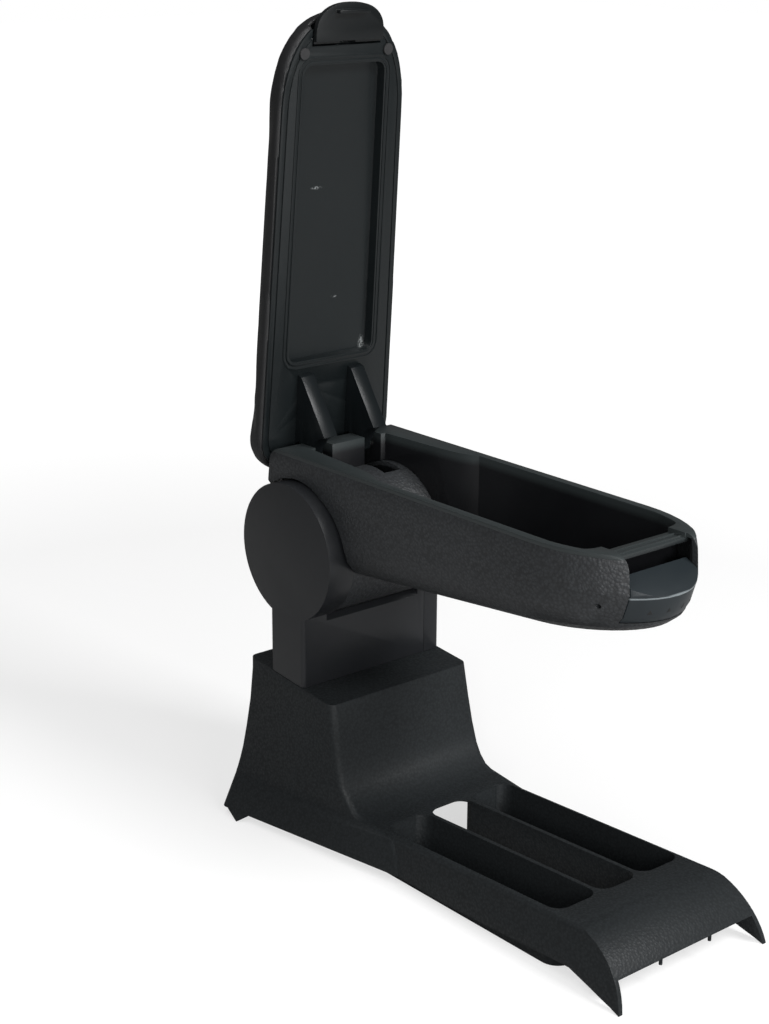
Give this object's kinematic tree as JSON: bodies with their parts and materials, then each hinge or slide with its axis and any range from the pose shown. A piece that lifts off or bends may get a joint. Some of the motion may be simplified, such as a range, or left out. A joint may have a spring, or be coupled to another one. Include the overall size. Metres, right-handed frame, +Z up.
{
  "type": "car centre armrest",
  "caption": "Free-standing car centre armrest: floor console with trays, column, tilting storage bin with release paddle, padded hinged lid with latch lever.",
  "frame": {"origin": "Centre of the four floor bolts of the column's steel foot, on the plane the console stands on, straight below the axis on which the bin tilts.", "axes": "+Z up. -Y is the front, where the deck and the bin's nose point. +X is the right side for someone who stands behind the object and looks towards +Y; the picture shows the -X side."},
  "size_m": [0.175, 0.3608, 0.5313],
  "materials": {
    "console_plastic": "moulded, coarse leather grain",
    "column_plastic": "moulded, fine texture",
    "bin_plastic": "moulded, coarse leather grain",
    "liner_plastic": "moulded, fine texture, slight sheen",
    "lid_liner_plastic": "moulded, fine texture",
    "lever_plastic": "smooth moulding",
    "paddle_plastic": "smooth moulding with a soft sheen",
    "pad_cover": "black imitation leather over foam",
    "bush_plastic": "natural acetal",
    "bracket_steel": "plated sheet steel",
    "bright_steel": "drawn and plated steel",
    "bumper_rubber": "black rubber"
  },
  "bodies": {
    "console": {"base_console": "console_plastic", "support_bracket": "bracket_steel", "clamp_bolt": "bracket_steel", "clamp_nut": "bracket_steel", "column_body": "column_plastic", "column_cover": "column_plastic", "tilt_shaft": "bracket_steel", "shaft_washers": "bracket_steel", "shaft_nut": "bracket_steel", "ratchet_wheel": "bracket_steel"},
    "bin": {"bin_shell": "bin_plastic", "bin_liner": "liner_plastic", "left_bush": "bush_plastic", "right_bush": "bush_plastic", "liner_screws": "bright_steel", "paddle_pin": "bright_steel", "paddle_spring": "bright_steel", "pawl_pin": "bright_steel", "pawl_spring": "bright_steel", "lid_hinge_pin": "bright_steel"},
    "paddle": {"release_paddle": "paddle_plastic"},
    "rod": {"release_rod": "bright_steel"},
    "pawl": {"locking_pawl": "bracket_steel"},
    "lid": {"lid_liner": "lid_liner_plastic", "lid_pad": "pad_cover", "left_hinge_arm": "lid_liner_plastic", "right_hinge_arm": "lid_liner_plastic", "arm_screws": "bright_steel", "lever_pin": "bright_steel", "lever_spring": "bright_steel", "lid_bumpers": "bumper_rubber"},
    "lever": {"latch_lever": "lever_plastic"}
  },
  "joints": [
    {"name": "bin_tilt", "type": "hinge", "parent": "console", "child": "bin", "pos_m": [0, 0, 0.19], "axis": [-1, 0, 0], "range_deg": [0, 80]},
    {"name": "lid_hinge", "type": "hinge", "parent": "bin", "child": "lid", "pos_m": [0, 0.022, 0.243], "axis": [1, 0, 0], "range_deg": [0, 85]},
    {"name": "release_paddle", "type": "hinge", "parent": "bin", "child": "paddle", "pos_m": [0, -0.256, 0.2222], "axis": [-1, 0, 0], "range_deg": [0, 12], "stiffness_Nm_per_rad": 0.6, "springref_deg": -14.32},
    {"name": "release_rod", "type": "slide", "parent": "bin", "child": "rod", "axis": [0, -0.9951, 0.099], "range_m": [0, 0.0026]},
    {"name": "locking_pawl", "type": "hinge", "parent": "bin", "child": "pawl", "pos_m": [0, -0.031, 0.212], "axis": [-1, 0, 0], "range_deg": [0, 6.1]},
    {"name": "latch_lever", "type": "hinge", "parent": "lid", "child": "lever", "pos_m": [0, 0.01272, 0.50971], "axis": [-1, 0, 0], "range_deg": [0, 10], "stiffness_Nm_per_rad": 0.1, "springref_deg": -20.05}
  ],
  "couplings": [
    {"joint": "release_rod", "follows": "release_paddle", "m_per_rad": 0.012},
    {"joint": "locking_pawl", "follows": "release_paddle", "ratio": 0.5}
  ]
}
